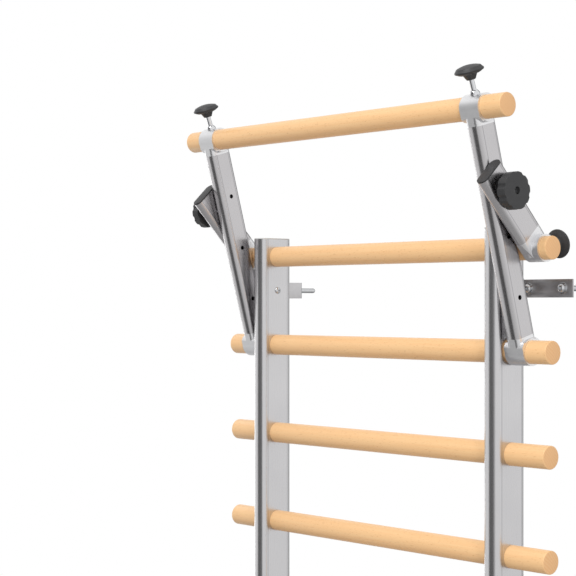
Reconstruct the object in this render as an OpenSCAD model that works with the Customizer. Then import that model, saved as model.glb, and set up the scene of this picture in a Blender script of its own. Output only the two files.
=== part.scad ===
/* [Rungs] */
// Diameter of the beech rungs
rung_d = 40; // [36:0.5:42]
// Length of a rung, with its free ends outside the uprights
rung_len = 829; // [824:1:890]
// Length of the bar, and of the two top rungs that carry the arms and struts
long_rung_len = 838; // [832:1:900]
// Distance from one rung to the next
rung_pitch = 175; // [165:1:190]
// Height of the lowest rung above the floor
rung_first_h = 163; // [140:1:200]
// Chamfer round each end of a rung
rung_chamfer = 2; // [0.5:0.1:4]
// Gap between a rung and its hole in the upright
rung_fit = 0.1; // [0.05:0.01:0.2]

/* [Uprights] */
// Distance between the two uprights
clear_w = 584; // [550:2:588]
// Depth of an upright, front to rear
upright_d = 74; // [70:0.5:78]
// Thickness of an upright, left to right
upright_t = 36; // [34:0.5:38]
// Upright left above the top rung
top_margin = 37; // [34:1:60]
// Wall of the hollow profiles
wall_t = 2.5; // [2:0.1:2.6]
// Radius of the long edges of the upright
upright_edge_r = 12; // [8:0.5:14]
// Thickness of the cap on top of an upright
top_cap_t = 2; // [1.5:0.5:4]
// Thickness of the foot under an upright
foot_t = 5; // [3:0.5:8]
// Length of a cap or foot inside its profile
plug_len = 10; // [6:1:14]

/* [Wall brackets] */
// Space between the uprights and the wall
wall_gap = 31.5; // [30:0.5:50]
// Thickness of a bracket
bracket_t = 3; // [2.5:0.5:4]
// Height of a bracket
bracket_h = 31.5; // [28:0.5:36]
// Height of a bracket above the rung below it
bracket_rise = 108; // [90:1:120]
// Length of a bracket along the wall
bracket_len = 112; // [110:1:118]
// From a bracket's corner to its inner wall screw
inner_screw_x = 14; // [13.5:0.5:18]
// From one wall screw of a bracket to the other
wall_screw_span = 76; // [70:1:78]
// Shank of a wall screw
wall_screw_d = 10; // [8:0.5:10]
// Length of a wall screw inside the wall
wall_screw_reach = 44; // [30:1:60]

/* [Pull-up arms] */
// From the pivot of an arm to the bar
arm_len = 420; // [400:5:460]
// Forward tilt of the arms as they stand in the photo
arm_tilt = 15.4; // [15:0.1:17]
// Depth of an arm, front to rear
arm_d = 46; // [44:0.5:46.5]
// Thickness of an arm, left to right
arm_t = 30; // [28:0.5:31]
// Radius of the long edges of an arm
arm_edge_r = 9; // [7:0.5:12]
// Width of the rings that hold the rung and the bar
ring_w = 42; // [40:0.5:44]
// Wall of a ring
ring_wall = 3.4; // [3.2:0.1:3.8]
// Gap between a ring and its rung
ring_fit = 0.06; // [0.02:0.01:0.1]
// Gap between an upright and a ring
ring_gap = 4.5; // [1:0.5:5]
// Distance from the pivot to the first adjusting hole
hole_first = 95.5; // [90:0.5:100]
// Distance from one adjusting hole to the next
hole_pitch = 105; // [95:1:110]
// Diameter of an adjusting hole
hole_d = 8.4; // [8:0.1:9]

/* [Struts] */
// Length of a strut from its rung to the end of its cap
strut_len = 171; // [165:1:180]
// Thickness of a strut, left to right
strut_t = 22; // [21:0.5:23]
// Depth of a strut, front to rear
strut_d = 58; // [54:0.5:60]
// Radius of the long edges of a strut
strut_edge_r = 10.5; // [8:0.1:10.5]
// Upward angle of a strut as it stands in the photo
strut_angle = 46.5; // [40:0.5:50]
// Gap between an arm and a strut
strut_gap = 2; // [0.5:0.1:2.5]
// Width of the ring on a strut, from the strut's inner face outwards
strut_ring_w = 34; // [26:0.5:36]
// Thickness of the cap on a strut
strut_cap_t = 3; // [2:0.5:6]

/* [Knobs] */
// Diameter of a clamp knob
knob_d = 50; // [40:1:52]
// Thickness of the head of a clamp knob
knob_cap_h = 16; // [12:0.5:18]
// Height of the cone under the head of a clamp knob
knob_cone_h = 9; // [7:0.5:10]
// From the rung's centre to the face of the strut's clamp knob
strut_knob_reach = 61; // [60:0.5:62]
// From the bar's centre to the face of the bar's clamp knob
bar_knob_reach = 73; // [68:0.5:80]
// Diameter of a clamp spindle
spindle_d = 9; // [8:0.5:10]
// Forward lean of the bar's clamp knobs from their arms
bar_knob_lean = 4.5; // [0:0.5:6]
// Angle from a strut to its clamp knob
strut_knob_angle = 124; // [118:1:126]
// Diameter of a star knob
star_d = 63; // [56:1:70]
// Thickness of the rim of a star knob
star_rim_h = 17; // [14:0.5:22]
// Number of lobes round a star knob
star_lobes = 10; // [8:1:12]
// From the rung's centre to the star knob's screw
star_reach = 126; // [118:1:130]
// Diameter of the star knob's screw
star_screw_d = 8; // [7:0.5:8]

/* [Hidden] */

// Smoothness of curves
$fn = 64;
// Overrun of a cut past the face it opens
over = 1;
// Gap between pieces that are pushed together
push_fit = 0.1;
// Gap between turning or sliding faces
face_gap = 0.3;

// Counts of rungs, and the rung that carries the arms
rung_count = 13;
arm_rung = rung_count - 1;

// Colours, as seen in the photo
alu = "#c8c8ca";
cast_alu = "#b4b4b8";
steel = "#a9abb0";
chrome = "#d6d8dc";
beech = "#f0c492";
black = "#2c2c2e";
cap_grey = "#d2d2d0";

// Heights, counted from the middle between the wall brackets
floor_z = -(rung_first_h + bracket_rise + (arm_rung - 1) * rung_pitch / 2);
function rung_z(i) = floor_z + rung_first_h + (i - 1) * rung_pitch;
top_z = rung_z(rung_count) + top_margin;
bracket_zs = [rung_z(1) + bracket_rise, rung_z(arm_rung) + bracket_rise];

// Places across the front, counted from the middle, and the wall behind at zero
upright_x = clear_w / 2 + upright_t / 2;
rung_y = -(wall_gap + upright_d / 2);
arm_x = clear_w / 2 + upright_t + ring_gap + ring_w / 2;
strut_x = arm_x + arm_t / 2 + strut_gap + strut_t / 2;
strut_ring_shift = (strut_ring_w - strut_t) / 2;

// Rings round the rungs and the bar
bore_r = rung_d / 2 + ring_fit;
ring_r = bore_r + ring_wall;
ring_blend_r = (ring_w - arm_t) / 2;
arm_start = 28;
tongue_len = 30;
tongue_wall = 3;

// Screws that hold the rungs from behind
rung_screw_d = 4.5;
rung_screw_head_d = 8.5;
rung_screw_head_h = 3;
rung_screw_bite = 12;

// Screws and slots of the wall brackets
bracket_leg_inset = 14;
bracket_screw_d = 6;
bracket_head_d = 13;
bracket_head_h = 4;
bracket_screw_tip = 4;
slot_fit = 0.2;
bracket_x = clear_w / 2 + wall_t + slot_fit;
washer_d = 20;
washer_t = 1.6;
wall_head_d = 15;
wall_head_h = 7;
wall_screw_neck_d = 9.2;
wall_hole_fit = 0.25;
wall_screw_xs = [bracket_x + inner_screw_x, bracket_x + inner_screw_x + wall_screw_span];

// Clamp collars, spindles and knobs
collar_d = 18;
collar_tip_d = 13;
collar_h = 5;
boss_h = 1.5;
spindle_fit = 0.05;
spindle_sink = 6;
knob_cone_d = 16;
knob_cone_top_d = 24;
knob_rim_share = 0.42;
knob_dome_h = 4;

// Star knobs
star_hub_d = 30;
star_hub_h = 8;
star_hub_gap = 0.3;
star_notch_share = 0.25;
star_notch_place_share = 1.19;
star_recess = 6;
star_hole_d = 12.5;
strut_start = 32;

module on_side(side) {
    mirror([side < 0 ? 1 : 0, 0, 0]) children();
}

// A solid along X, drawn with its own X up the Z axis
module across(w) {
    rotate([0, -90, 0]) linear_extrude(w, center = true) children();
}

// A solid along Y, drawn with its own X and Y along X and Z
module facing(d) {
    rotate([90, 0, 0]) linear_extrude(d, center = true) children();
}

module rounded_rect(w, d, r) {
    square([w - 2 * r, d], center = true);
    square([w, d - 2 * r], center = true);
    for (x = [-1, 1], y = [-1, 1]) {
        translate([x * (w / 2 - r), y * (d / 2 - r)]) circle(r);
    }
}

// The hollow inside a profile, made smaller all round by a gap
module profile_core(w, d, r, gap) {
    inset = wall_t + gap;
    rounded_rect(w - 2 * inset, d - 2 * inset, max(r - inset, push_fit));
}

module profile(w, d, r) {
    difference() {
        rounded_rect(w, d, r);
        profile_core(w, d, r, 0);
    }
}

// The hollow stub of a cap or foot that sits inside a profile
module plug(w, d, r) {
    difference() {
        profile_core(w, d, r, push_fit);
        profile_core(w, d, r, push_fit + wall_t);
    }
}

// Frame that stands against the wall
module upright_body() {
    translate([upright_x, rung_y, 0]) {
        difference() {
            translate([0, 0, floor_z + foot_t]) {
                linear_extrude(top_z - top_cap_t - floor_z - foot_t) {
                    profile(upright_t, upright_d, upright_edge_r);
                }
            }
            for (i = [1:rung_count]) {
                translate([0, 0, rung_z(i)]) {
                    rotate([0, 90, 0]) cylinder(d = rung_d + 2 * rung_fit, h = upright_t + 2 * over, center = true);
                    rotate([-90, 0, 0]) cylinder(d = rung_screw_d + 2 * push_fit, h = upright_d / 2 + over);
                }
            }
            for (z = bracket_zs) {
                translate([bracket_x + bracket_t / 2 - upright_x, (upright_d - upright_edge_r) / 2, z]) {
                    cube([bracket_t + 2 * slot_fit, upright_edge_r + 2 * over, bracket_h + 2 * slot_fit], center = true);
                }
                translate([-upright_t / 2 - over, 0, z]) {
                    rotate([0, 90, 0]) cylinder(d = bracket_screw_d + 2 * push_fit, h = wall_t + 2 * over);
                }
            }
        }
    }
}

module upright(side) {
    color(alu) on_side(side) upright_body();
}

module top_cap(side) {
    color(cap_grey) on_side(side) translate([upright_x, rung_y, top_z - top_cap_t]) {
        linear_extrude(top_cap_t) rounded_rect(upright_t, upright_d, upright_edge_r);
        translate([0, 0, -plug_len]) linear_extrude(plug_len) plug(upright_t, upright_d, upright_edge_r);
    }
}

module foot(side) {
    color(black) on_side(side) translate([upright_x, rung_y, floor_z]) {
        linear_extrude(foot_t) rounded_rect(upright_t, upright_d, upright_edge_r);
        linear_extrude(foot_t + plug_len) plug(upright_t, upright_d, upright_edge_r);
    }
}

// A turned bar along X with chamfered ends
module dowel(len) {
    rotate([0, 90, 0]) {
        cylinder(d = rung_d, h = len - 2 * rung_chamfer, center = true);
        for (s = [0, 1]) {
            mirror([0, 0, s]) translate([0, 0, len / 2 - rung_chamfer]) {
                cylinder(d1 = rung_d, d2 = rung_d - 2 * rung_chamfer, h = rung_chamfer);
            }
        }
    }
}

module rung(i) {
    color(beech) translate([0, rung_y, rung_z(i)]) difference() {
        dowel(i < arm_rung ? rung_len : long_rung_len);
        for (side = [-1, 1]) {
            translate([side * upright_x, rung_d / 2 - rung_screw_bite, 0]) {
                rotate([-90, 0, 0]) cylinder(d = rung_screw_d + 2 * push_fit, h = rung_screw_bite + over);
            }
        }
    }
}

module round_screw(shank_d, shank_len, head_d, head_h) {
    translate([0, 0, -shank_len]) cylinder(d = shank_d, h = shank_len);
    intersection() {
        cylinder(d = head_d, h = head_h);
        dome_r = (head_d * head_d / 4 + head_h * head_h) / (2 * head_h);
        translate([0, 0, head_h - dome_r]) sphere(dome_r);
    }
}

module rung_screws() {
    seat_y = upright_d / 2;
    color(steel) for (side = [-1, 1], i = [1:rung_count]) {
        translate([side * upright_x, rung_y + seat_y, rung_z(i)]) {
            rotate([-90, 0, 0]) {
                round_screw(rung_screw_d, seat_y - rung_d / 2 + rung_screw_bite - push_fit,
                    rung_screw_head_d, rung_screw_head_h);
            }
        }
    }
}

// Wall bracket: a leg inside the upright and a flange along the wall
module bracket(side, z) {
    leg_len = wall_gap + upright_d / 2 + bracket_leg_inset;
    color(steel) on_side(side) translate([bracket_x, 0, z]) difference() {
        union() {
            translate([0, -leg_len, -bracket_h / 2]) cube([bracket_t, leg_len, bracket_h]);
            translate([0, -bracket_t, -bracket_h / 2]) cube([bracket_len, bracket_t, bracket_h]);
        }
        translate([-over, rung_y, 0]) {
            rotate([0, 90, 0]) cylinder(d = bracket_screw_d + 2 * spindle_fit, h = bracket_t + 2 * over);
        }
        for (x = wall_screw_xs) {
            translate([x - bracket_x, -bracket_t - over, 0]) {
                rotate([-90, 0, 0]) cylinder(d = wall_screw_d + 2 * wall_hole_fit, h = bracket_t + 2 * over);
            }
        }
    }
}

module bracket_screws() {
    color(chrome) for (side = [-1, 1], z = bracket_zs) {
        on_side(side) translate([clear_w / 2, rung_y, z]) rotate([0, -90, 0]) {
            round_screw(bracket_screw_d, wall_t + slot_fit + bracket_t + bracket_screw_tip,
                bracket_head_d, bracket_head_h);
        }
    }
}

module at_wall_screws() {
    for (side = [-1, 1], z = bracket_zs, x = wall_screw_xs) {
        on_side(side) translate([x, -bracket_t, z]) rotate([90, 0, 0]) children();
    }
}

module wall_screws() {
    shank_len = washer_t + bracket_t + wall_screw_reach;
    color(steel) at_wall_screws() translate([0, 0, washer_t]) {
        round_screw(wall_screw_neck_d, washer_t + bracket_t, wall_head_d, wall_head_h);
        translate([0, 0, wall_screw_d / 2 - shank_len]) {
            cylinder(d = wall_screw_d, h = wall_screw_reach - wall_screw_d / 2);
            sphere(d = wall_screw_d);
        }
    }
}

module wall_washers() {
    color(chrome) at_wall_screws() difference() {
        cylinder(d = washer_d, h = washer_t);
        translate([0, 0, -over]) cylinder(d = wall_screw_d + 2 * wall_hole_fit, h = washer_t + 2 * over);
    }
}

// Everything on the arms is drawn along +Z from the pivot and then tilted forward
module at_arm(side) {
    translate([side * arm_x, rung_y, rung_z(arm_rung)]) rotate([arm_tilt, 0, 0]) children();
}

module pull_up_bar() {
    color(beech) translate([0, rung_y, rung_z(arm_rung)]) rotate([arm_tilt, 0, 0]) {
        translate([0, 0, arm_len]) dowel(long_rung_len);
    }
}

module arm(side) {
    color(alu) at_arm(side) difference() {
        translate([0, 0, arm_start]) {
            linear_extrude(arm_len - 2 * arm_start) profile(arm_t, arm_d, arm_edge_r);
        }
        for (i = [0:2]) {
            translate([0, 0, hole_first + i * hole_pitch]) {
                rotate([0, 90, 0]) cylinder(d = hole_d, h = arm_t + 2 * over, center = true);
            }
        }
    }
}

// Ring with a neck along +Z that blends from the ring's width to the arm's
module ring_casting() {
    blend_z = ring_r + ring_blend_r / 2;
    difference() {
        union() {
            rotate([0, 90, 0]) cylinder(r = ring_r, h = ring_w, center = true);
            linear_extrude(arm_start) rounded_rect(arm_t, arm_d, arm_edge_r);
            intersection() {
                translate([0, 0, blend_z / 2]) cube([ring_w, arm_d, blend_z], center = true);
                rotate([0, 90, 0]) cylinder(r = blend_z, h = ring_w, center = true);
                facing(arm_d) difference() {
                    translate([-ring_w / 2, 0]) square([ring_w, blend_z]);
                    for (x = [-1, 1]) translate([x * ring_w / 2, blend_z]) circle(ring_blend_r);
                }
            }
            linear_extrude(arm_start + tongue_len) difference() {
                profile_core(arm_t, arm_d, arm_edge_r, push_fit);
                square([arm_t - 2 * (wall_t + tongue_wall), arm_d], center = true);
            }
        }
        rotate([0, 90, 0]) cylinder(r = bore_r, h = ring_w + 2 * over, center = true);
    }
}

module arm_foot(side) {
    color(cast_alu) at_arm(side) ring_casting();
}

// Pad on the outside of a ring where the clamp spindle comes through
module clamp_boss() {
    cylinder(d = collar_d, h = ring_r + boss_h);
}

module spindle_bore() {
    cylinder(d = spindle_d + 2 * spindle_fit, h = ring_r + boss_h + over);
}

module arm_head(side) {
    color(cast_alu) at_arm(side) translate([0, 0, arm_len]) difference() {
        union() {
            mirror([0, 0, 1]) ring_casting();
            difference() {
                rotate([bar_knob_lean, 0, 0]) clamp_boss();
                rotate([0, 90, 0]) cylinder(r = bore_r, h = ring_w + 2 * over, center = true);
            }
        }
        rotate([bar_knob_lean, 0, 0]) spindle_bore();
    }
}

module at_bar_knob(side) {
    at_arm(side) translate([0, 0, arm_len]) rotate([bar_knob_lean, 0, 0]) children();
}

// Conical lock nut on the boss of a ring
module collar() {
    translate([0, 0, ring_r + boss_h]) difference() {
        cylinder(d1 = collar_d, d2 = collar_tip_d, h = collar_h);
        translate([0, 0, -over]) cylinder(d = spindle_d + 2 * spindle_fit, h = collar_h + 2 * over);
    }
}

module spindle(reach) {
    tip = rung_d / 2 + face_gap;
    translate([0, 0, tip]) cylinder(d = spindle_d, h = reach - knob_cap_h - tip + spindle_sink);
}

// Mushroom knob whose face lies at the given distance from the rung's centre
module knob(reach) {
    cap_r = knob_d / 2;
    rim_h = knob_cap_h - knob_dome_h;
    rim_r = rim_h * knob_rim_share;
    flat_r = cap_r - rim_r;
    dome_r = (flat_r * flat_r + knob_dome_h * knob_dome_h) / (2 * knob_dome_h);
    translate([0, 0, reach - knob_cap_h - knob_cone_h]) difference() {
        rotate_extrude() {
            polygon([[0, 0], [knob_cone_d / 2, 0], [knob_cone_top_d / 2, knob_cone_h], [0, knob_cone_h]]);
            translate([0, knob_cone_h]) {
                square([flat_r, rim_h]);
                translate([flat_r, rim_r]) circle(rim_r);
                translate([flat_r, rim_h - rim_r]) circle(rim_r);
                translate([0, rim_r]) square([cap_r, rim_h - 2 * rim_r]);
                intersection() {
                    square([flat_r, knob_cap_h]);
                    translate([0, knob_cap_h - dome_r]) circle(dome_r);
                }
            }
        }
        translate([0, 0, -over]) {
            cylinder(d = spindle_d + 2 * spindle_fit, h = over + knob_cone_h + spindle_sink + face_gap);
        }
    }
}

module bar_clamp_collars() {
    color(chrome) for (side = [-1, 1]) {
        at_bar_knob(side) collar();
    }
}

module bar_spindle(side) {
    color(chrome) at_bar_knob(side) spindle(bar_knob_reach);
}

module bar_knob(side) {
    color(black) at_bar_knob(side) knob(bar_knob_reach);
}

// Everything on a strut is drawn along +Z from the top rung and then turned to the front
module at_strut(side) {
    translate([side * strut_x, rung_y, rung_z(rung_count)]) rotate([90 - strut_angle, 0, 0]) children();
}

module strut(side) {
    color(alu) at_strut(side) difference() {
        translate([0, 0, strut_start]) {
            linear_extrude(strut_len - strut_cap_t - strut_start) {
                profile(strut_t, strut_d, strut_edge_r);
            }
        }
        translate([0, 0, star_reach]) {
            rotate([0, 90, 0]) cylinder(d = star_screw_d + 2 * spindle_fit, h = strut_t + 2 * over, center = true);
        }
    }
}

// Ring that stands out past the strut's outer face. Its cheeks run straight from the round to the
// depth of the strut, with the strut's round edges.
module strut_ring(side) {
    half_d = strut_d / 2;
    far = sqrt(half_d * half_d + strut_start * strut_start);
    touch = atan2(half_d, strut_start) + acos(ring_r / far);
    color(cast_alu) at_strut(side) difference() {
        union() {
            translate([side * strut_ring_shift, 0, 0]) across(strut_ring_w) circle(ring_r);
            intersection() {
                across(strut_t) {
                    polygon([[ring_r * cos(touch), ring_r * sin(touch)], [strut_start, half_d],
                        [strut_start, -half_d], [ring_r * cos(touch), -ring_r * sin(touch)]]);
                }
                translate([0, 0, -ring_r]) linear_extrude(ring_r + strut_start) rounded_rect(strut_t, strut_d, strut_edge_r);
            }
            linear_extrude(strut_start + tongue_len) plug(strut_t, strut_d, strut_edge_r);
            translate([side * strut_ring_shift, 0, 0]) rotate([-strut_knob_angle, 0, 0]) clamp_boss();
        }
        translate([side * strut_ring_shift, 0, 0]) {
            rotate([0, 90, 0]) cylinder(r = bore_r, h = strut_ring_w + 2 * over, center = true);
            rotate([-strut_knob_angle, 0, 0]) spindle_bore();
        }
    }
}

module strut_cap(side) {
    color(black) at_strut(side) translate([0, 0, strut_len - strut_cap_t]) {
        linear_extrude(strut_cap_t) rounded_rect(strut_t, strut_d, strut_edge_r);
        translate([0, 0, -plug_len]) linear_extrude(plug_len) plug(strut_t, strut_d, strut_edge_r);
    }
}

module at_strut_knob(side) {
    at_strut(side) translate([side * strut_ring_shift, 0, 0]) rotate([-strut_knob_angle, 0, 0]) children();
}

module strut_collar(side) {
    color(chrome) at_strut_knob(side) collar();
}

module strut_spindle(side) {
    color(chrome) at_strut_knob(side) spindle(strut_knob_reach);
}

module strut_knob(side) {
    color(black) at_strut_knob(side) knob(strut_knob_reach);
}

// Places on the outer face of a strut, with Z outward along the star knob's screw
module at_star(side) {
    at_strut(side) translate([side * strut_t / 2, 0, star_reach]) rotate([0, side * 90, 0]) children();
}

module star_knob(side) {
    notch_r = star_d / 2 * star_notch_share;
    color(black) at_star(side) translate([0, 0, star_hub_gap]) difference() {
        union() {
            cylinder(d = star_hub_d, h = star_hub_h);
            translate([0, 0, star_hub_h]) linear_extrude(star_rim_h) difference() {
                circle(d = star_d);
                for (i = [1:star_lobes]) {
                    rotate(i * 360 / star_lobes) translate([star_d / 2 * star_notch_place_share, 0]) circle(notch_r);
                }
            }
        }
        translate([0, 0, -over]) {
            cylinder(d = star_screw_d + 2 * spindle_fit, h = star_hub_h + star_rim_h + 2 * over);
        }
        translate([0, 0, star_hub_h + star_rim_h - star_recess]) cylinder(d = star_hole_d, h = star_recess + over);
    }
}

module star_screw(side) {
    tip = strut_t + strut_gap - face_gap;
    color(chrome) at_star(side) translate([0, 0, -tip]) {
        cylinder(d = star_screw_d, h = tip + star_hub_gap + star_hub_h + star_rim_h - star_recess);
    }
}

upright(-1);  // left_upright
upright(1);  // right_upright
top_cap(-1);  // left_top_cap
top_cap(1);  // right_top_cap
foot(-1);  // left_foot
foot(1);  // right_foot
rung(1);  // rung_01
rung(2);  // rung_02
rung(3);  // rung_03
rung(4);  // rung_04
rung(5);  // rung_05
rung(6);  // rung_06
rung(7);  // rung_07
rung(8);  // rung_08
rung(9);  // rung_09
rung(10);  // rung_10
rung(11);  // rung_11
rung(12);  // rung_12
rung(13);  // rung_13
rung_screws();
bracket(-1, bracket_zs[0]);  // left_lower_bracket
bracket(1, bracket_zs[0]);  // right_lower_bracket
bracket(-1, bracket_zs[1]);  // left_upper_bracket
bracket(1, bracket_zs[1]);  // right_upper_bracket
bracket_screws();
wall_screws();
wall_washers();
pull_up_bar();
arm(-1);  // left_arm
arm(1);  // right_arm
arm_foot(-1);  // left_arm_foot
arm_foot(1);  // right_arm_foot
arm_head(-1);  // left_arm_head
arm_head(1);  // right_arm_head
bar_clamp_collars();
bar_spindle(-1);  // left_bar_spindle
bar_spindle(1);  // right_bar_spindle
bar_knob(-1);  // left_bar_knob
bar_knob(1);  // right_bar_knob
strut(-1);  // left_strut
strut(1);  // right_strut
strut_ring(-1);  // left_strut_ring
strut_ring(1);  // right_strut_ring
strut_cap(-1);  // left_strut_cap
strut_cap(1);  // right_strut_cap
strut_collar(-1);  // left_strut_collar
strut_collar(1);  // right_strut_collar
strut_spindle(-1);  // left_strut_spindle
strut_spindle(1);  // right_strut_spindle
strut_knob(-1);  // left_strut_knob
strut_knob(1);  // right_strut_knob
star_knob(-1);  // left_star_knob
star_knob(1);  // right_star_knob
star_screw(-1);  // left_star_screw
star_screw(1);  // right_star_screw
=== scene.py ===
import math

import bmesh
import bpy
from mathutils import Matrix, Vector


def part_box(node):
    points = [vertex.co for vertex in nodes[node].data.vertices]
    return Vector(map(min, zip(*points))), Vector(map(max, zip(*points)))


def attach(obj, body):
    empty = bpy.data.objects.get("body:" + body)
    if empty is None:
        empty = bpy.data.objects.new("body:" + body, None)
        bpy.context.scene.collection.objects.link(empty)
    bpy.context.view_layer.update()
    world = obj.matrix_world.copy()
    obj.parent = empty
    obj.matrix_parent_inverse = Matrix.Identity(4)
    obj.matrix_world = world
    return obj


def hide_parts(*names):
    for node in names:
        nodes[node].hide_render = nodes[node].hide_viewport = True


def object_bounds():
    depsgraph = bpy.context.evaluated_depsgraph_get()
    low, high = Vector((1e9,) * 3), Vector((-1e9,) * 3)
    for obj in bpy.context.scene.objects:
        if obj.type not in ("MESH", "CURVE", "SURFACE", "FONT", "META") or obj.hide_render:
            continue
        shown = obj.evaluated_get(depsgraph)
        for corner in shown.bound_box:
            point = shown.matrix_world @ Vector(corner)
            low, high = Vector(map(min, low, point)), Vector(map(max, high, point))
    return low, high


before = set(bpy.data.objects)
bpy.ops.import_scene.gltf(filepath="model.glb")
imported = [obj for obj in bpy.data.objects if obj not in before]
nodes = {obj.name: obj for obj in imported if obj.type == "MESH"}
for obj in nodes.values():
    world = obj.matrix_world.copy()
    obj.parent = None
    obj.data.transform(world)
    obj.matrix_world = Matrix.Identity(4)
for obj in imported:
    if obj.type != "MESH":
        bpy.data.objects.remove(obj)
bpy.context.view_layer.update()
mm = 0.001
SIDES = (("left", -1), ("right", 1))

# Uprights
# Two hollow profiles of extruded aluminium with full round edges, cut square and drilled through
# for the rungs. The die leaves faint draw lines along them, which the satin anodising keeps, and
# a thin line of painted shade runs where each round edge meets the wide face.
UPRIGHT = Vector((36, 74)) * mm
UPRIGHT_EDGE = 12 * mm
UPRIGHT_CROWN = 1.6 * mm
UPRIGHT_X = 310 * mm
RUNG_Y = -68.5 * mm

# the sockets of a Mix node that mixes colours, whose names its other sockets have too
FACTOR, COLOUR_A, COLOUR_B, MIXED = 0, 6, 7, 2


def linear(colour):
    """An sRGB hex colour as linear RGBA."""
    parts = [int(colour[i:i + 2], 16) / 255 for i in (1, 3, 5)]
    return [*(c / 12.92 if c <= 0.04045 else ((c + 0.055) / 1.055) ** 2.4 for c in parts), 1.0]


def add(tree, kind, sockets=None, **settings):
    """Adds a node with its settings, and a value or a link for each socket named."""
    node = tree.nodes.new(kind)
    for name, value in settings.items():
        setattr(node, name, value)
    for name, value in (sockets or {}).items():
        if isinstance(value, bpy.types.NodeSocket):
            tree.links.new(value, node.inputs[name])
        else:
            node.inputs[name].default_value = value
    return node


def new_material(name, **constants):
    """A material with one shader whose named sockets hold these constants."""
    material = bpy.data.materials.new(name)
    material.use_nodes = True
    tree = material.node_tree
    tree.nodes.clear()
    shader = add(tree, "ShaderNodeBsdfPrincipled")
    for socket, value in constants.items():
        shader.inputs[socket.replace("_", " ")].default_value = value
    add(tree, "ShaderNodeOutputMaterial", {"Surface": shader.outputs["BSDF"]})
    return material, tree, shader


def anodised_profile(name, middle, tilt, half_flat, crown, dark, light):
    """Satin anodised extrusion: draw lines along it, a thin line of painted shade beside each
    edge, and narrow faces that bulge."""
    # real draw lines are 0.2 mm wide, and are drawn six times as wide so that they show
    line = 1.2 * mm
    line_length = 300 * line
    cloud_size = 90 * mm
    # half the width of the line of painted shade where each round edge meets the wide face, 1.6
    # mm in all
    shade_line_half = 0.8 * mm
    narrow_half = 12 * mm
    material, tree, shader = new_material(name, Metallic=1.0)
    place = add(tree, "ShaderNodeTexCoord").outputs["Object"]
    own = add(tree, "ShaderNodeMapping", {
        "Vector": place, "Location": middle, "Rotation": (tilt, 0, 0)},
        vector_type="TEXTURE").outputs[0]
    stretched = add(tree, "ShaderNodeMapping", {
        "Vector": own, "Scale": (1 / line, 1 / line, 1 / line_length)})
    lines = add(tree, "ShaderNodeTexNoise", {
        "Vector": stretched.outputs[0], "Scale": 1.0, "Detail": 3.0})
    clouds = add(tree, "ShaderNodeTexNoise", {
        "Vector": own, "Scale": 1 / cloud_size, "Detail": 2.0})
    face = add(tree, "ShaderNodeMix", {
        FACTOR: clouds.outputs[0], COLOUR_A: linear(dark), COLOUR_B: linear(light)},
        data_type="RGBA")
    across = add(tree, "ShaderNodeSeparateXYZ", {"Vector": own})
    from_middle = add(tree, "ShaderNodeMath", {0: across.outputs[1]}, operation="ABSOLUTE")
    # painted shade: a thin darker grey line where each round edge meets the wide face
    near = add(tree, "ShaderNodeMath", {
        0: from_middle.outputs[0], 1: half_flat, 2: shade_line_half}, operation="COMPARE")
    depth = add(tree, "ShaderNodeMath", {0: near.outputs[0], 1: 0.45}, operation="MULTIPLY")
    colour = add(tree, "ShaderNodeMix", {
        FACTOR: depth.outputs[0], COLOUR_A: face.outputs[MIXED], COLOUR_B: linear("#77767a")},
        data_type="RGBA")
    rough = add(tree, "ShaderNodeMapRange", {
        "Value": lines.outputs[0], "To Min": 0.2, "To Max": 0.32})
    # the bulge is a raised cosine across the narrow face, as tall as crown
    turn = add(tree, "ShaderNodeMapRange", {
        "Value": across.outputs[0], "From Min": -narrow_half, "From Max": narrow_half,
        "To Min": -math.pi, "To Max": math.pi})
    swell = add(tree, "ShaderNodeMath", {0: turn.outputs[0]}, operation="COSINE")
    height = add(tree, "ShaderNodeMath", {
        0: swell.outputs[0], 1: crown / 2, 2: 0.0}, operation="MULTIPLY_ADD")
    crowned = add(tree, "ShaderNodeBump", {
        "Height": height.outputs[0], "Strength": 1.0, "Distance": 1.0})
    bump = add(tree, "ShaderNodeBump", {
        "Height": lines.outputs[0], "Strength": 0.2, "Distance": 0.03 * mm,
        "Normal": crowned.outputs[0]})
    tree.links.new(colour.outputs[MIXED], shader.inputs["Base Color"])
    tree.links.new(rough.outputs[0], shader.inputs["Roughness"])
    tree.links.new(bump.outputs[0], shader.inputs["Normal"])
    return material


def dress(node, material):
    """Gives a CAD node a finished material."""
    for place in nodes[node].material_slots:
        place.material = material


for side, sign in SIDES:
    finish = anodised_profile(
        side + "_upright_anodised", (sign * UPRIGHT_X, RUNG_Y, 0), 0,
        UPRIGHT.y / 2 - UPRIGHT_EDGE, UPRIGHT_CROWN, "#c6c5c7", "#d0cfd0")
    dress(side + "_upright", finish)

# Top caps and feet
# Moulded caps pushed into both ends of each upright: pale grey on top, black rubbery ones
# under it. Both have softened edges, and the moulding leaves a fine even grain.
CAP_SOFT = 0.7 * mm
TOP_CAP_THICK = 2 * mm
FOOT_THICK = 5 * mm
SMOOTH_ANGLE = math.radians(32)
SAME_PLACE = 0.01 * mm


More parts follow.
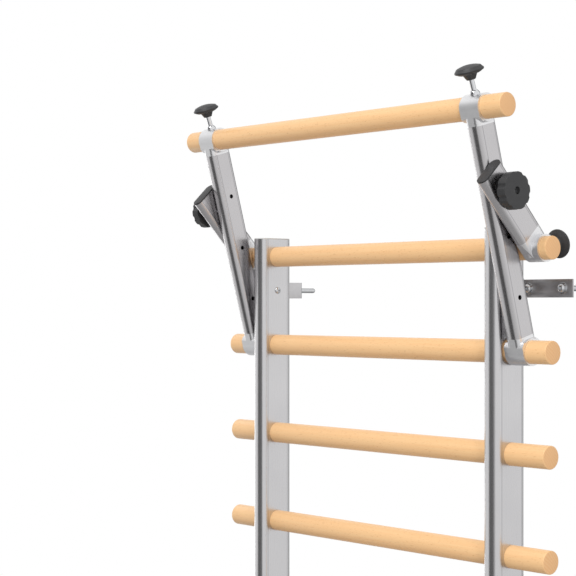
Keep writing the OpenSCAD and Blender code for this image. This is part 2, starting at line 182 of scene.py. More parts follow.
def moulded_plastic(name, dark, light, rough):
    """Moulded plastic: a fine spark grain all over, and colour that wavers a little."""
    # real grain is 0.2 mm wide, and is drawn four times as coarse so that it shows
    grain_size = 0.9 * mm
    tone_size = 11 * mm
    material, tree, shader = new_material(name, Roughness=rough, IOR=1.49)
    place = add(tree, "ShaderNodeTexCoord").outputs["Object"]
    grain = add(tree, "ShaderNodeTexNoise", {
        "Vector": place, "Scale": 1 / grain_size, "Detail": 4.0})
    tone = add(tree, "ShaderNodeTexNoise", {
        "Vector": place, "Scale": 1 / tone_size, "Detail": 3.0})
    colour = add(tree, "ShaderNodeMix", {
        FACTOR: tone.outputs[0], COLOUR_A: linear(dark), COLOUR_B: linear(light)},
        data_type="RGBA")
    bump = add(tree, "ShaderNodeBump", {
        "Height": grain.outputs[0], "Strength": 0.35, "Distance": 0.08 * mm})
    tree.links.new(colour.outputs[MIXED], shader.inputs["Base Color"])
    tree.links.new(bump.outputs[0], shader.inputs["Normal"])
    return material


def pick_edges(test):
    """In edit mode, selects only the edges that pass the test."""
    mesh = bmesh.from_edit_mesh(bpy.context.object.data)
    bpy.ops.mesh.select_mode(type="EDGE")
    bpy.ops.mesh.select_all(action="DESELECT")
    for edge in mesh.edges:
        edge.select_set(bool(test(edge)))
    bmesh.update_edit_mesh(bpy.context.object.data)


def level(edge, axis, value):
    """True for an edge that lies at this value of an axis."""
    return all(abs(v.co[axis] - value) < SAME_PLACE for v in edge.verts)


def name_it(name):
    """Names the active piece and its mesh."""
    piece = bpy.context.object
    piece.name = piece.data.name = name
    return piece


def settle(piece, material, slot, body, *replaced):
    """Finishes a piece in its place: shading, material, body and the nodes it replaces. The slot
    is not used.
    """
    bpy.ops.object.select_all(action="DESELECT")
    piece.select_set(True)
    bpy.context.view_layer.objects.active = piece
    bpy.ops.object.transform_apply(location=True, rotation=True, scale=True)
    bpy.ops.object.shade_smooth_by_angle(angle=SMOOTH_ANGLE)
    if material:
        piece.data.materials.clear()
        piece.data.materials.append(material)
    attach(piece, body)
    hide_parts(*replaced)
    return piece


def rounded_block(name, low, high, edge, soft):
    """A moulded block between two corners, with upright edges and rims rounded."""
    bpy.ops.object.select_all(action="DESELECT")
    bpy.ops.mesh.primitive_cube_add(size=1, location=(low + high) / 2, scale=high - low)
    piece = name_it(name)
    bpy.ops.object.transform_apply(location=True, scale=True)
    bpy.ops.object.mode_set(mode="EDIT")
    pick_edges(lambda e: abs(e.verts[0].co.z - e.verts[1].co.z) > SAME_PLACE)
    bpy.ops.mesh.bevel(offset=edge, segments=12)
    pick_edges(lambda e: level(e, 2, high.z) or level(e, 2, low.z))
    bpy.ops.mesh.bevel(offset=soft, segments=3)
    bpy.ops.object.mode_set(mode="OBJECT")
    return piece


pale_plastic = moulded_plastic("pale_grey_polyamide", "#cfcfcd", "#dadad8", 0.5)
black_plastic = moulded_plastic("black_polyamide", "#2c2c2e", "#3a3a3b", 0.5)
for side, sign in SIDES:
    low, high = (Vector(corner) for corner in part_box(side + "_top_cap"))
    low.z = high.z - TOP_CAP_THICK
    piece = rounded_block(side + "_top_cap_moulded", low, high, UPRIGHT_EDGE, CAP_SOFT)
    settle(piece, pale_plastic, "grey_plastic", "wall_frame", side + "_top_cap")
    low, high = (Vector(corner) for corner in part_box(side + "_foot"))
    high.z = low.z + FOOT_THICK
    piece = rounded_block(side + "_foot_moulded", low, high, UPRIGHT_EDGE, CAP_SOFT)
    settle(piece, black_plastic, "black_plastic", "wall_frame", side + "_foot")

# Rungs
# Thirteen dowels of steamed beech, turned, sanded and given a clear satin lacquer. Long grain
# runs along each with the short dark flecks of beech, and the sawn ends show growth rings.
RUNGS = ["rung_%02d" % number for number in range(1, 14)]
RUNG_R = 20 * mm
RUNG_CHAMFER = 1.6 * mm


def lacquered_beech(name):
    """Lacquered beech: pale fibres along X, short brown flecks, and a soft sheen."""
    fibre_length, fibre_width = 160 * mm, 5 * mm
    # real flecks are 0.3 mm wide, and are drawn four times as coarse so that they show
    fleck_length, fleck_width = 7 * mm, 1.2 * mm
    material, tree, shader = new_material(
        name, Roughness=0.42, IOR=1.45, Coat_Weight=0.12, Coat_Roughness=0.3)
    place = add(tree, "ShaderNodeTexCoord").outputs["Object"]
    fibre = add(tree, "ShaderNodeMapping", {
        "Vector": place, "Scale": (1 / fibre_length, 1 / fibre_width, 1 / fibre_width)})
    streaks = add(tree, "ShaderNodeTexNoise", {
        "Vector": fibre.outputs[0], "Scale": 1.0, "Detail": 4.0, "Roughness": 0.6,
        "Distortion": 0.4})
    ray = add(tree, "ShaderNodeMapping", {
        "Vector": place, "Scale": (1 / fleck_length, 1 / fleck_width, 1 / fleck_width)})
    rays = add(tree, "ShaderNodeTexNoise", {
        "Vector": ray.outputs[0], "Scale": 1.0, "Detail": 2.0})
    fleck = add(tree, "ShaderNodeMapRange", {
        "Value": rays.outputs[0], "From Min": 0.6, "From Max": 0.72, "To Min": 0.0,
        "To Max": 0.45})
    wood = add(tree, "ShaderNodeMix", {
        FACTOR: streaks.outputs[0], COLOUR_A: linear("#ffd6a0"), COLOUR_B: linear("#fac389")},
        data_type="RGBA")
    colour = add(tree, "ShaderNodeMix", {
        FACTOR: fleck.outputs[0], COLOUR_A: wood.outputs[MIXED], COLOUR_B: linear("#c98f5c")},
        data_type="RGBA")
    bump = add(tree, "ShaderNodeBump", {
        "Height": streaks.outputs[0], "Strength": 0.25, "Distance": 0.1 * mm})
    tree.links.new(colour.outputs[MIXED], shader.inputs["Base Color"])
    tree.links.new(bump.outputs[0], shader.inputs["Normal"])
    return material


def beech_end_grain(name):
    """Sawn and sanded end grain: darker than the side, with curved growth rings and pores."""
    ring_width = 3.2 * mm
    # the width in metres of one band of a wave texture at scale 1
    band_width = 0.314
    bend_size, bend = 30 * mm, 14 * mm
    # real pores are 0.1 mm wide, and are drawn eight times as coarse so that they show
    pore_size = 0.8 * mm
    material, tree, shader = new_material(
        name, Roughness=0.6, IOR=1.45, Coat_Weight=0.05, Coat_Roughness=0.4)
    place = add(tree, "ShaderNodeTexCoord").outputs["Object"]
    bent = add(tree, "ShaderNodeTexNoise", {
        "Vector": place, "Scale": 1 / bend_size, "Detail": 1.0})
    turned = add(tree, "ShaderNodeVectorMath", {
        0: bent.outputs[1], 1: (0, bend, bend)}, operation="MULTIPLY")
    moved = add(tree, "ShaderNodeVectorMath", {0: place, 1: turned.outputs[0]}, operation="ADD")
    rings = add(tree, "ShaderNodeTexWave", {
        "Vector": moved.outputs[0], "Scale": band_width / ring_width, "Distortion": 1.2,
        "Detail": 2.0, "Detail Scale": 1.5},
        wave_type="BANDS", bands_direction="DIAGONAL", wave_profile="SAW")
    pores = add(tree, "ShaderNodeTexNoise", {
        "Vector": place, "Scale": 1 / pore_size, "Detail": 2.0})
    ring = add(tree, "ShaderNodeMix", {
        FACTOR: rings.outputs[1], COLOUR_A: linear("#ffd09a"), COLOUR_B: linear("#f9bf88")},
        data_type="RGBA")
    fleck = add(tree, "ShaderNodeMapRange", {
        "Value": pores.outputs[0], "From Min": 0.55, "From Max": 0.7, "To Min": 0.0,
        "To Max": 0.35})
    colour = add(tree, "ShaderNodeMix", {
        FACTOR: fleck.outputs[0], COLOUR_A: ring.outputs[MIXED], COLOUR_B: linear("#d39a66")},
        data_type="RGBA")
    tree.links.new(colour.outputs[MIXED], shader.inputs["Base Color"])
    return material


beech = lacquered_beech("lacquered_beech")
end_grain = beech_end_grain("beech_end_grain")


def dowel(node, body):
    """A turned dowel along X in place of a CAD one, with eased ends."""
    low, high = (Vector(corner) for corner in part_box(node))
    bpy.ops.object.select_all(action="DESELECT")
    bpy.ops.mesh.primitive_cylinder_add(
        vertices=96, radius=RUNG_R, depth=high.x - low.x, location=(low + high) / 2,
        rotation=(0, math.pi / 2, 0))
    piece = name_it(node + "_turned")
    bpy.ops.object.transform_apply(location=True, rotation=True)
    bpy.ops.object.mode_set(mode="EDIT")
    pick_edges(lambda e: level(e, 0, low.x) or level(e, 0, high.x))
    bpy.ops.mesh.bevel(offset=RUNG_CHAMFER, segments=4)
    bpy.ops.object.mode_set(mode="OBJECT")
    piece.data.materials.append(beech)
    piece.data.materials.append(end_grain)
    for face in piece.data.polygons:
        face.material_index = int(abs(face.normal.x) > 0.9)
    settle(piece, None, "beech", body, node)


for rung in RUNGS:
    dowel(rung, "wall_frame")

# Rung screws
# Zinc-plated pan-head screws, driven through the rear face of each upright into the rung ends.
# They are turned, with a cross recess punched into the head.
SCREW_HEAD = Vector((4.25, 3)) * mm
SCREW_SHANK_R = 2.25 * mm
SCREW_SHANK = 28.9 * mm
SCREW_POINT = 3 * mm
SCREW_RECESS = (5 * mm, 1 * mm, 2.6 * mm)


def mid_height(node):
    """The height of a node's middle."""
    return sum(Vector(corner).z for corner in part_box(node)) / 2


def turned_at(place, turn, axis):
    """Where a piece goes that is turned about an axis and then moved to a place."""
    return Matrix.Translation(place) @ Matrix.Rotation(turn, 4, axis)


def arc(middle, radius, start, end, steps):
    """Points of an outline, as (radius, height), round a middle between two angles in degrees."""
    turns = [math.radians(start + (end - start) * step / steps) for step in range(steps + 1)]
    return [(middle[0] + radius * math.cos(turn), middle[1] + radius * math.sin(turn))
            for turn in turns]


def turn_piece(name, outline, sides=48, ring=False):
    """A round piece about Z: a circle drawn out along an outline of (radius, height)."""
    bpy.ops.object.select_all(action="DESELECT")
    radius, height = outline[0]
    bpy.ops.mesh.primitive_circle_add(
        vertices=sides, radius=radius, location=(0, 0, height),
        fill_type="NOTHING" if ring else "NGON")
    piece = name_it(name)
    bpy.ops.object.transform_apply(location=True)
    bpy.ops.object.mode_set(mode="EDIT")
    bpy.ops.mesh.select_all(action="SELECT")
    for new_radius, new_height in outline[1:] + outline[:1] * ring:
        rise = new_height - height
        bpy.ops.mesh.extrude_region_move(TRANSFORM_OT_translate={"value": (0, 0, rise)})
        wider = new_radius / radius
        bpy.ops.transform.resize(value=(wider, wider, 1), center_override=(0, 0, new_height))
        radius, height = new_radius, new_height
    bpy.ops.mesh.select_all(action="SELECT")
    bpy.ops.mesh.remove_doubles(threshold=0.001 * mm)
    bpy.ops.mesh.normals_make_consistent(inside=False)
    bpy.ops.object.mode_set(mode="OBJECT")
    return piece


def carve(piece, tool):
    """Cuts one solid out of another."""
    cut = piece.modifiers.new("cut", "BOOLEAN")
    cut.operation = "DIFFERENCE"
    cut.solver = "EXACT"
    cut.object = tool
    bpy.ops.object.select_all(action="DESELECT")
    bpy.context.view_layer.objects.active = piece
    bpy.ops.object.modifier_apply(modifier="cut")
    bpy.data.objects.remove(tool)


def copies(piece, spots):
    """Puts a copy of a piece, with its own mesh, at each spot, and joins the copies."""
    made = []
    for spot in spots:
        copy = piece.copy()
        copy.data = piece.data.copy()
        copy.data.transform(spot)
        bpy.context.scene.collection.objects.link(copy)
        made.append(copy)
    name = piece.name
    bpy.data.objects.remove(piece)
    bpy.ops.object.select_all(action="DESELECT")
    for copy in made:
        copy.select_set(True)
    bpy.context.view_layer.objects.active = made[0]
    bpy.ops.object.join()
    return name_it(name)


def plated_steel(name, dark, light, rough, speck):
    """Zinc-plated steel: bright, with the faint cloudy spangle of the plating."""
    material, tree, shader = new_material(name, Metallic=1.0)
    place = add(tree, "ShaderNodeTexCoord").outputs["Object"]
    cloud = add(tree, "ShaderNodeTexNoise", {
        "Vector": place, "Scale": 1 / speck, "Detail": 4.0})
    colour = add(tree, "ShaderNodeMix", {
        FACTOR: cloud.outputs[0], COLOUR_A: linear(dark), COLOUR_B: linear(light)},
        data_type="RGBA")
    gloss = add(tree, "ShaderNodeMapRange", {
        "Value": cloud.outputs[0], "To Min": rough, "To Max": rough + 0.12})
    tree.links.new(colour.outputs[MIXED], shader.inputs["Base Color"])
    tree.links.new(gloss.outputs[0], shader.inputs["Roughness"])
    return material


zinc = plated_steel("zinc_plated_steel", "#8e8d90", "#adacae", 0.3, 6 * mm)
head_r, head_h = SCREW_HEAD
screw = turn_piece("rung_screws_panhead", [
    (0.4 * SCREW_SHANK_R, -SCREW_SHANK), (SCREW_SHANK_R, SCREW_POINT - SCREW_SHANK),
    (SCREW_SHANK_R, 0), (head_r, 0), (head_r, 0.3 * head_h),
    *arc((head_r - 0.7 * head_h, 0.3 * head_h), 0.7 * head_h, 20, 90, 4)], sides=24)
for quarter in (0, 1):
    bpy.ops.mesh.primitive_cube_add(
        size=1, location=(0, 0, head_h), rotation=(0, 0, quarter * math.pi / 2),
        scale=SCREW_RECESS)
    carve(screw, bpy.context.object)
upright_rear_y = RUNG_Y + UPRIGHT.y / 2
screw = copies(screw, [
    turned_at((sign * UPRIGHT_X, upright_rear_y, mid_height(rung)), -math.pi / 2, "X")
    for rung in RUNGS for _, sign in SIDES])
settle(screw, zinc, "zinc_steel", "wall_frame", "rung_screws")

# Wall brackets
# Four angles bent from 3 mm steel strip and zinc plated. One leg slides into the upright, and
# the long flange lies along the wall. The bend has a round outside and a tighter inside.
BEND_R = 5 * mm
BEND_INSIDE_R = 2 * mm
STRIP = 3 * mm
STRIP_SOFT = 0.4 * mm


def merged_copy(name, node):
    """A copy of a CAD piece, with its triangles joined up into clean faces."""
    piece = nodes[node].copy()
    piece.data = nodes[node].data.copy()
    piece.parent = None
    for key in list(piece.keys()):
        del piece[key]
    bpy.context.scene.collection.objects.link(piece)
    bpy.ops.object.select_all(action="DESELECT")
    piece.select_set(True)
    bpy.context.view_layer.objects.active = piece
    bpy.ops.mesh.customdata_custom_splitnormals_clear()
    bpy.ops.object.mode_set(mode="EDIT")
    bpy.ops.mesh.select_all(action="SELECT")
    bpy.ops.mesh.remove_doubles(threshold=0.002 * mm)
    bpy.ops.mesh.dissolve_limited(angle_limit=math.radians(0.5))
    bpy.ops.object.mode_set(mode="OBJECT")
    return name_it(name)


def soften(piece, width, angle=30, segments=3):
    """Breaks the sharp edges of a piece, as tumbling or moulding does."""
    edges = piece.modifiers.new("edges", "BEVEL")
    edges.width = width
    edges.segments = segments
    edges.limit_method = "ANGLE"
    edges.angle_limit = math.radians(angle)
    edges.use_clamp_overlap = True
    bpy.context.view_layer.objects.active = piece
    bpy.ops.object.modifier_apply(modifier="edges")


bracket_zinc = plated_steel("zinc_plated_strip", "#bdbcbe", "#d0cfd0", 0.34, 14 * mm)
for side, sign in SIDES:
    for place in ("lower", "upper"):
        node = "%s_%s_bracket" % (side, place)
        low, high = (Vector(corner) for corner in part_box(node))
        corner_x = low.x if sign > 0 else high.x
        inside_x = corner_x + sign * STRIP
        piece = merged_copy(node + "_bent", node)
        bpy.ops.object.mode_set(mode="EDIT")
        pick_edges(lambda e: level(e, 0, corner_x) and level(e, 1, high.y))
        bpy.ops.mesh.bevel(offset=BEND_R, segments=8)
        pick_edges(lambda e: level(e, 0, inside_x) and level(e, 1, high.y - STRIP))
        bpy.ops.mesh.bevel(offset=BEND_INSIDE_R, segments=6)
        bpy.ops.object.mode_set(mode="OBJECT")
        soften(piece, STRIP_SOFT, segments=2)
        settle(piece, bracket_zinc, "zinc_steel", "wall_frame", node)

# Bracket screws
# Bright domed screws with a hexagon socket, through the inner side of each upright.
DOME = Vector((6.5, 4)) * mm
DOME_RIM = 0.5 * mm
BRACKET_SHANK = Vector((3, 9.7)) * mm
BRACKET_POINT = 1 * mm
BRACKET_SOCKET_R = 2.3 * mm
BRACKET_SOCKET_FLOOR = 1.6 * mm


def domed(radius, rim, top, steps):
    """Points of a domed head above its rim, as (radius, height), 12 degrees to a step."""
    turns = [math.radians(12 * step) for step in steps]
    return [(radius * math.cos(turn), rim + (top - rim) * math.sin(turn)) for turn in turns]


def carve_socket(screw, radius, bottom, top):
    """Cuts a hexagon socket into a screw's head."""
    bpy.ops.object.select_all(action="DESELECT")
    bpy.ops.mesh.primitive_cylinder_add(
        vertices=6, radius=radius, depth=top - bottom, location=(0, 0, (bottom + top) / 2))
    carve(screw, bpy.context.object)


bright_steel = plated_steel("bright_zinc_steel", "#c0c1c3", "#d6d7d9", 0.18, 5 * mm)
dome_r, dome_h = DOME
shank_r, shank = BRACKET_SHANK
screw = turn_piece("bracket_screws_domed", [
    (0.7 * shank_r, -shank), (shank_r, BRACKET_POINT - shank), (shank_r, 0), (dome_r, 0),
    *domed(dome_r, DOME_RIM, dome_h, range(0, 7))])
carve_socket(screw, BRACKET_SOCKET_R, BRACKET_SOCKET_FLOOR, 2 * dome_h)
bracket_heights = [mid_height(node) for node in ("right_lower_bracket", "right_upper_bracket")]
upright_inner_x = UPRIGHT_X - UPRIGHT.x / 2
screw = copies(screw, [
    turned_at((sign * upright_inner_x, RUNG_Y, height), -sign * math.pi / 2, "Y")
    for height in bracket_heights for _, sign in SIDES])
settle(screw, bright_steel, "chrome", "wall_frame", "bracket_screws")

# Wall screws and washers
# Two to a bracket: a round-headed 10 mm screw with a hexagon socket, a slimmer neck through the
# bracket, a plain shank for the wall's plug and a round tip, over a turned washer.
WASHER = Vector((5.3, 10, 1.6)) * mm
WASHER_EDGE = 0.3 * mm
WALL_HEAD = Vector((7.5, 7)) * mm
WALL_HEAD_RIM = 2 * mm
WALL_SOCKET_R = 3.4 * mm
WALL_SOCKET_DEPTH = 4 * mm
WALL_SHANK_R = 5 * mm
WALL_NECK_R = 4.6 * mm
WALL_REACH = 44 * mm
WALL_SCREW_X = (308.7 * mm, 384.7 * mm)
inner, outer, thick = WASHER
washer = turn_piece("wall_washers_turned", [
    (inner, 0), (outer - WASHER_EDGE, 0), (outer, WASHER_EDGE), (outer, thick - WASHER_EDGE),
    (outer - WASHER_EDGE, thick), (inner + WASHER_EDGE, thick), (inner, thick - WASHER_EDGE)],
    ring=True)
head_r, head_h = WALL_HEAD
tip = -(STRIP + WALL_REACH + thick)
screw = turn_piece("wall_screws_round_headed", [
    *arc((0, tip + WALL_SHANK_R), WALL_SHANK_R, -80, 0, 6), (WALL_SHANK_R, tip + WALL_REACH),
    (WALL_NECK_R, tip + WALL_REACH), (WALL_NECK_R, 0), (head_r, 0), (head_r, WALL_HEAD_RIM),
    *domed(head_r, WALL_HEAD_RIM, head_h, range(1, 6))])
carve_socket(screw, WALL_SOCKET_R, head_h - WALL_SOCKET_DEPTH, 2 * head_h)
screw.data.transform(Matrix.Translation((0, 0, thick)))
seats = [turned_at((sign * x, -STRIP, height), math.pi / 2, "X")
         for x in WALL_SCREW_X for height in bracket_heights for _, sign in SIDES]
settle(copies(washer, seats), bright_steel, "chrome", "wall_frame", "wall_washers")
settle(copies(screw, seats), bright_steel, "zinc_steel", "wall_frame", "wall_screws")

# Pull-up bar
# A dowel like the rungs, held in front of the frame by the two arms.
dowel("pull_up_bar", "pull_up_arms")

# Arms
# Two slimmer extrusions with round edges and three adjusting holes drilled through each. They
# stand tilted forward on the twelfth rung, and their draw lines run with them.
ARM_TILT = math.radians(15.4)
ARM_LEN = 420 * mm
ARM_DEPTH = 46 * mm
ARM_EDGE = 9 * mm
ARM_CROWN = 1.6 * mm
ARM_X = 353.5 * mm
arm_pivot_z = mid_height("rung_12")
for side, sign in SIDES:
    finish = anodised_profile(
        side + "_arm_anodised", (sign * ARM_X, RUNG_Y, arm_pivot_z), ARM_TILT,
        ARM_DEPTH / 2 - ARM_EDGE, ARM_CROWN, "#bebcbe", "#c9c7c8")
    dress(side + "_arm", finish)

# Rings of the arms
# Aluminium castings, blasted to an even grey. Each grips a rung or the bar and blends into a
# neck that is pressed into the end of the arm. Their edges are broken all round.
CAST_SOFT = 0.6 * mm


def even_shading(piece):
    """Lets large faces keep their own normals, so that shading doesn't smear across corners."""
    bpy.context.view_layer.objects.active = piece
    weighted = piece.modifiers.new("weighted", "WEIGHTED_NORMAL")
    weighted.keep_sharp = True
    bpy.ops.object.modifier_apply(modifier="weighted")


def cast_aluminium(name):
    """Blasted aluminium casting: soft grey sheen with a fine even grain."""
    # real grit is 0.3 mm wide, and is drawn four times as coarse so that it shows
    grit = 1.1 * mm
    cloud_size = 18 * mm
    material, tree, shader = new_material(name, Metallic=1.0)
    place = add(tree, "ShaderNodeTexCoord").outputs["Object"]
    grain = add(tree, "ShaderNodeTexNoise", {
        "Vector": place, "Scale": 1 / grit, "Detail": 4.0})
    cloud = add(tree, "ShaderNodeTexNoise", {
        "Vector": place, "Scale": 1 / cloud_size, "Detail": 3.0})
    colour = add(tree, "ShaderNodeMix", {
        FACTOR: cloud.outputs[0], COLOUR_A: linear("#e2e2e4"), COLOUR_B: linear("#eeeeef")},
        data_type="RGBA")
    gloss = add(tree, "ShaderNodeMapRange", {
        "Value": cloud.outputs[0], "To Min": 0.3, "To Max": 0.4})
    bump = add(tree, "ShaderNodeBump", {
        "Height": grain.outputs[0], "Strength": 0.2, "Distance": 0.05 * mm})
    tree.links.new(colour.outputs[MIXED], shader.inputs["Base Color"])
    tree.links.new(gloss.outputs[0], shader.inputs["Roughness"])
    tree.links.new(bump.outputs[0], shader.inputs["Normal"])
    return material


casting = cast_aluminium("blasted_aluminium_casting")
for side, sign in SIDES:
    for node in (side + "_arm_foot", side + "_arm_head"):
        piece = merged_copy(node + "_cast", node)
        soften(piece, CAST_SOFT)
        even_shading(settle(piece, casting, "cast_aluminium", "pull_up_arms", node))

# Clamps
# A chromed lock collar on each ring, a chromed spindle through it, and a black moulded
# mushroom knob on the spindle, with a cone under its domed head.
RING_FACE = 24.96 * mm
COLLAR = Vector((4.55, 9, 6, 5)) * mm
COLLAR_EDGE = 0.4 * mm
SPINDLE_R = 4.5 * mm
SPINDLE_EDGE = 0.8 * mm
SPINDLE_GAP = 0.3 * mm
SPINDLE_IN_KNOB = 6 * mm
KNOB = Vector((25, 16, 9)) * mm
BAR_REACH = 73 * mm
STRUT_REACH = 61 * mm
BAR_KNOB_LEAN = math.radians(4.5)
STRUT_KNOB_ANGLE = math.radians(-124)
STRUT_TILT = math.radians(43.5)
STRUT_X = 381.5 * mm
STRUT_CLAMP_X = 387.5 * mm
strut_pivot_z = mid_height("rung_13")


def at_bar(sign):
    """The place of a clamp on an arm's upper ring, with the bar's middle as its origin."""
    return (turned_at((sign * ARM_X, RUNG_Y, arm_pivot_z), ARM_TILT, "X")
            @ Matrix.Translation((0, 0, ARM_LEN)) @ Matrix.Rotation(BAR_KNOB_LEAN, 4, "X"))


def at_strut_knob(sign):
    """The place of a clamp on a strut's ring, with the rung's middle as its origin."""
    place = (sign * STRUT_CLAMP_X, RUNG_Y, strut_pivot_z)
    return turned_at(place, STRUT_TILT + STRUT_KNOB_ANGLE, "X")


def turned_collar(name):
    """A conical lock collar that stands on a ring's flat face."""
    bore, wide, narrow, tall = COLLAR
    return turn_piece(name, [
        (bore, RING_FACE), (wide, RING_FACE), (wide, RING_FACE + COLLAR_EDGE),
        (narrow + COLLAR_EDGE, RING_FACE + tall - COLLAR_EDGE), (narrow, RING_FACE + tall),
        (bore, RING_FACE + tall)], ring=True)


def turned_spindle(name, reach):
    """A spindle from just outside the rung or bar into the knob, with both ends eased."""
    start = RUNG_R + SPINDLE_GAP
    end = reach - KNOB.y + SPINDLE_IN_KNOB
    return turn_piece(name, [
        (SPINDLE_R - SPINDLE_EDGE, start), (SPINDLE_R, start + SPINDLE_EDGE),
        (SPINDLE_R, end - SPINDLE_EDGE), (SPINDLE_R - SPINDLE_EDGE, end)])


def mushroom_knob(name, reach):
    """A knob with a lens-shaped head: hollowed a little under its thin rim, domed on top."""
    wide, head, cone = KNOB
    foot = reach - head - cone
    rim_r = 2.4 * mm
    rim = (wide - rim_r, foot + cone + 6 * mm)
    dome_r = 56 * mm
    slope = math.degrees(math.asin((wide - rim_r) / dome_r))
    hollow_start, hollow_rise, steps = 12.8 * mm, 3.6 * mm, 6
    under = [(hollow_start + (rim[0] - hollow_start) * (step / steps),
              foot + cone + hollow_rise * (step / steps) ** 2) for step in range(steps)]
    return turn_piece(name, [
        (7.2 * mm, foot), (8 * mm, foot + 0.8 * mm), (12 * mm, foot + cone - 0.5 * mm), *under,
        *arc(rim, rim_r, -80, 90 - slope, 10),
        *arc((0, reach - dome_r), dome_r, 90 - slope + 2, 88, 8)], sides=72)


def polished_chrome(name):
    """Polished chrome plate: mirror bright, with a faint haze from wiping."""
    haze_size = 7 * mm
    material, tree, shader = new_material(name, Metallic=1.0)
    place = add(tree, "ShaderNodeTexCoord").outputs["Object"]
    haze = add(tree, "ShaderNodeTexNoise", {
        "Vector": place, "Scale": 1 / haze_size, "Detail": 3.0})
    gloss = add(tree, "ShaderNodeMapRange", {
        "Value": haze.outputs[0], "To Min": 0.06, "To Max": 0.16})
    shader.inputs["Base Color"].default_value = linear("#d9dadc")
    tree.links.new(gloss.outputs[0], shader.inputs["Roughness"])
    return material


chrome = polished_chrome("polished_chrome")
collars = copies(turned_collar("bar_clamp_collars_turned"), [at_bar(sign) for _, sign in SIDES])
settle(collars, chrome, "chrome", "pull_up_arms", "bar_clamp_collars")
for side, sign in SIDES:
    for which, reach, spot in ((side + "_bar", BAR_REACH, at_bar(sign)),
                               (side + "_strut", STRUT_REACH, at_strut_knob(sign))):
        spindle = turned_spindle(which + "_spindle_turned", reach)
        spindle.data.transform(spot)
        settle(spindle, chrome, "chrome", which + "_clamp", which + "_spindle")
        knob = mushroom_knob(which + "_knob_moulded", reach)
        knob.data.transform(spot)
        settle(knob, black_plastic, "black_plastic", which + "_clamp", which + "_knob")
    collar = turned_collar(side + "_strut_collar_turned")
    collar.data.transform(at_strut_knob(sign))
    settle(collar, chrome, "chrome", side + "_strut_unit", side + "_strut_collar")

# Struts
# Short lengths of a flat oval profile outside each arm. A cast ring holds each on the top rung,
# and a black moulded cap closes its free end.
STRUT_DEPTH = 58 * mm
STRUT_EDGE = 10.5 * mm
STRUT_CROWN = 1.2 * mm
STRUT_CAP_SOFT = 0.8 * mm
for side, sign in SIDES:
    finish = anodised_profile(
        side + "_strut_anodised", (sign * STRUT_X, RUNG_Y, strut_pivot_z), STRUT_TILT,
        STRUT_DEPTH / 2 - STRUT_EDGE, STRUT_CROWN, "#bebcbe", "#c9c7c8")
    dress(side + "_strut", finish)
    body = side + "_strut_unit"
    piece = merged_copy(side + "_strut_ring_cast", side + "_strut_ring")
    soften(piece, CAST_SOFT)
    even_shading(settle(piece, casting, "cast_aluminium", body, side + "_strut_ring"))
    piece = merged_copy(side + "_strut_cap_moulded", side + "_strut_cap")
    soften(piece, STRUT_CAP_SOFT, angle=40)
    settle(piece, black_plastic, "black_plastic", body, side + "_strut_cap")

# Star knobs
# Black moulded knobs with ten shallow lobes round a flat face. In the hole in its middle ends the
# chromed screw that runs through the strut.
STAR_SOFT = 1.4 * mm
for side, sign in SIDES:
    node = side + "_star_knob"
    piece = merged_copy(node + "_moulded", node)
    soften(piece, STAR_SOFT, angle=35)
    even_shading(settle(piece, black_plastic, "black_plastic", side + "_star_clamp", node))
    dress(side + "_star_screw", chrome)

# Studio
# A pale floor, a soft white room with grey screens before and behind for the metal to mirror,
# four soft lamps, and the camera that the photograph was matched with.
FLOOR_SIZE = 6.0
FLOOR_GAP = 0.5 * mm
low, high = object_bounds()
bpy.ops.object.select_all(action="DESELECT")
bpy.ops.mesh.primitive_plane_add(size=FLOOR_SIZE, location=(0, 0, low.z - FLOOR_GAP))
floor = name_it("studio_floor")
floor_finish, tree, shader = new_material("pale_studio_floor", Roughness=0.8)
shader.inputs["Base Color"].default_value = linear("#ececec")
floor.data.materials.append(floor_finish)
# the metal mirrors the room's dimmer lower part instead, and no bounce lights the undersides
floor.visible_glossy = False
floor.visible_diffuse = False

# each screen's turn from straight in front toward the right, the cosines where it begins and
# where it is whole, and its tone
SCREENS = ((-17, 0.8, 0.94, 0.15), (190, 0.86, 0.96, 0.3))
# a ray's rise counts this much when its distance from a screen is measured, so screens are tall
SCREEN_RISE = 0.35
world = bpy.data.worlds.new("studio_world")
bpy.context.scene.world = world
world.use_nodes = True
tree = world.node_tree
tree.nodes.clear()
way = add(tree, "ShaderNodeTexCoord").outputs["Generated"]
flattened = add(tree, "ShaderNodeVectorMath", {
    0: way, 1: (1, 1, SCREEN_RISE)}, operation="MULTIPLY")
flat_way = add(tree, "ShaderNodeVectorMath", {0: flattened.outputs[0]}, operation="NORMALIZE")
height = add(tree, "ShaderNodeSeparateXYZ", {"Vector": way}).outputs[2]
# what the metal mirrors: a white room, dimmer from just under the horizon down, times the screens
around = add(tree, "ShaderNodeMapRange", {
    "Value": height, "From Min": -0.7, "From Max": -0.1, "To Min": 0.45, "To Max": 1.0})
for turn, begins, whole, tone in SCREENS:
    toward = (math.sin(math.radians(turn)), -math.cos(math.radians(turn)), 0)
    facing = add(tree, "ShaderNodeVectorMath", {
        0: flat_way.outputs[0], 1: toward}, operation="DOT_PRODUCT")
    screen = add(tree, "ShaderNodeMapRange", {
        "Value": facing.outputs[1], "From Min": begins, "From Max": whole, "To Min": 1.0,
        "To Max": tone}, interpolation_type="SMOOTHSTEP")
    around = add(tree, "ShaderNodeMath", {
        0: screen.outputs[0], 1: around.outputs[0]}, operation="MULTIPLY")
rays = add(tree, "ShaderNodeLightPath").outputs
mirrored = add(tree, "ShaderNodeMath", {
    0: rays["Is Glossy Ray"], 1: around.outputs[0]}, operation="MULTIPLY")
background = add(tree, "ShaderNodeMath", {
    0: rays["Is Camera Ray"], 1: rays["Is Transmission Ray"]}, operation="MAXIMUM")
seen = add(tree, "ShaderNodeMath", {
    0: background.outputs[0], 1: mirrored.outputs[0]}, operation="MAXIMUM")
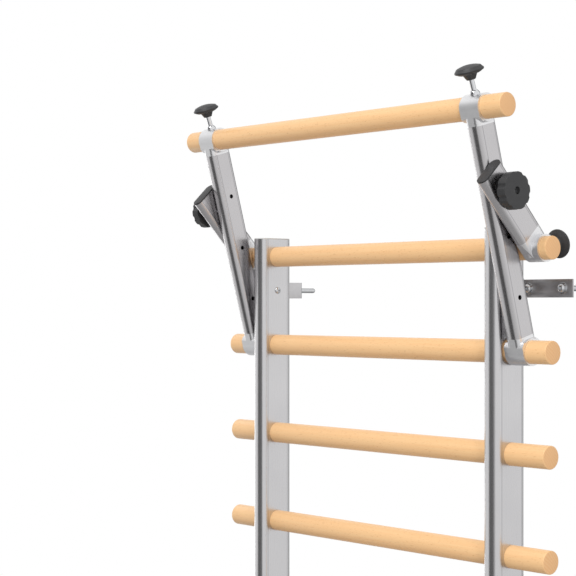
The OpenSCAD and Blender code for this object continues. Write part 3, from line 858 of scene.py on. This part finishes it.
# soft light from all round for wood and plastic, dimmer from below
fill = add(tree, "ShaderNodeMapRange", {
    "Value": height, "From Min": -0.9, "From Max": 0.1, "To Min": 0.42, "To Max": 0.58})
diffuse = add(tree, "ShaderNodeMath", {
    0: rays["Is Diffuse Ray"], 1: fill.outputs[0]}, operation="MULTIPLY")
strength = add(tree, "ShaderNodeMath", {
    0: seen.outputs[0], 1: diffuse.outputs[0]}, operation="MAXIMUM")
sky = add(tree, "ShaderNodeBackground", {
    "Color": (1, 1, 1, 1), "Strength": strength.outputs[0]})
add(tree, "ShaderNodeOutputWorld", {"Surface": sky.outputs[0]})

# each lamp's name, place, the point it faces, width, height and power, and whether the metal
# mirrors it; the second and third light the wood's sawn ends and its back
LAMPS = (("key_softbox", (0.8, -4.6, 5.6), (0, -0.1, 0.3), 3.0, 3.0, 205, True),
         ("right_strip", (2.9, -1.35, 0.9), (0, -0.1, 0.7), 0.6, 2.6, 20, False),
         ("back_fill", (-0.8, 4.6, 2.6), (0, -0.1, 0.1), 3.0, 3.0, 45, False),
         ("left_strip", (-3.0, 0.3, 0.9), (0, -0.1, 0.7), 0.8, 2.6, 9, True))
for name, place, aim, wide, tall, power, mirrored_by_metal in LAMPS:
    lamp = bpy.data.lights.new(name, "AREA")
    lamp.shape = "RECTANGLE"
    lamp.size = wide
    lamp.size_y = tall
    lamp.energy = power
    holder = bpy.data.objects.new(name, lamp)
    holder.location = place
    holder.rotation_euler = (Vector(aim) - Vector(place)).to_track_quat("-Z", "Y").to_euler()
    holder.visible_glossy = mirrored_by_metal
    bpy.context.scene.collection.objects.link(holder)

# the photograph's camera, from the fit to its rungs and arms: level, half from the right
camera_data = bpy.data.cameras.new("photo_camera")
camera_data.lens = 102.0
camera_data.sensor_width = 36.0
camera_data.shift_y = 0.0268
camera_data.clip_end = 60.0
camera = bpy.data.objects.new("photo_camera", camera_data)
camera.location = (2.1983, -2.1662, 0.9366)
camera.rotation_euler = (math.radians(90), 0, math.radians(49.53))
bpy.context.scene.collection.objects.link(camera)
bpy.context.scene.camera = camera
bpy.context.scene.view_settings.view_transform = "Standard"
